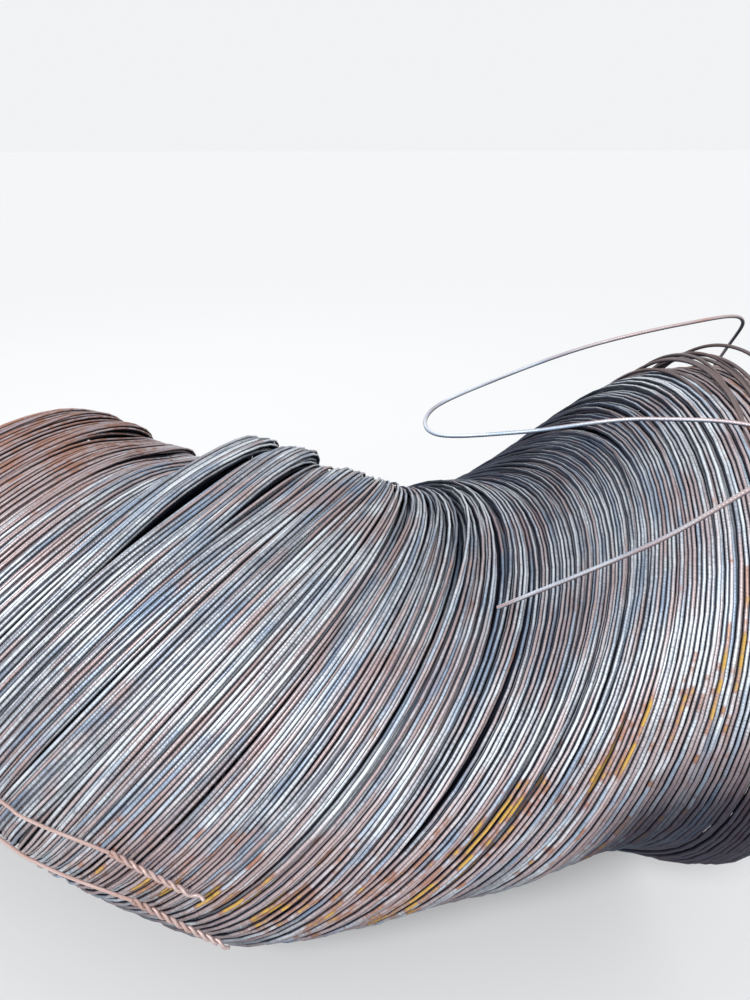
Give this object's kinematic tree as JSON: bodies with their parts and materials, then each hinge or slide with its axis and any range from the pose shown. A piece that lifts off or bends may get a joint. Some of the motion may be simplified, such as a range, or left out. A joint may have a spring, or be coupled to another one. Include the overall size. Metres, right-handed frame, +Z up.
{
  "type": "coil of wire rod",
  "caption": "Loose coil of steel wire rod lying toppled on its side, its turns leaning and fanned along a bent line, with a bore, a sprung turn, a free end and twisted ties.",
  "frame": {"origin": "on the floor, under the middle of the coil's box", "axes": "+X along the coil towards the end whose turns stand upright, +Y to the back, +Z up"},
  "size_m": [2.5347, 1.735, 1.1833],
  "materials": {
    "rod_steel": "blue-grey mill scale, worn bright on the crowns, with mauve and ochre rust",
    "tie_steel": "pale pinkish-brown rust"
  },
  "bodies": {
    "root": {"wire_coil": "rod_steel", "tie_upper": "tie_steel", "tie_lower": "tie_steel"}
  },
  "joints": []
}
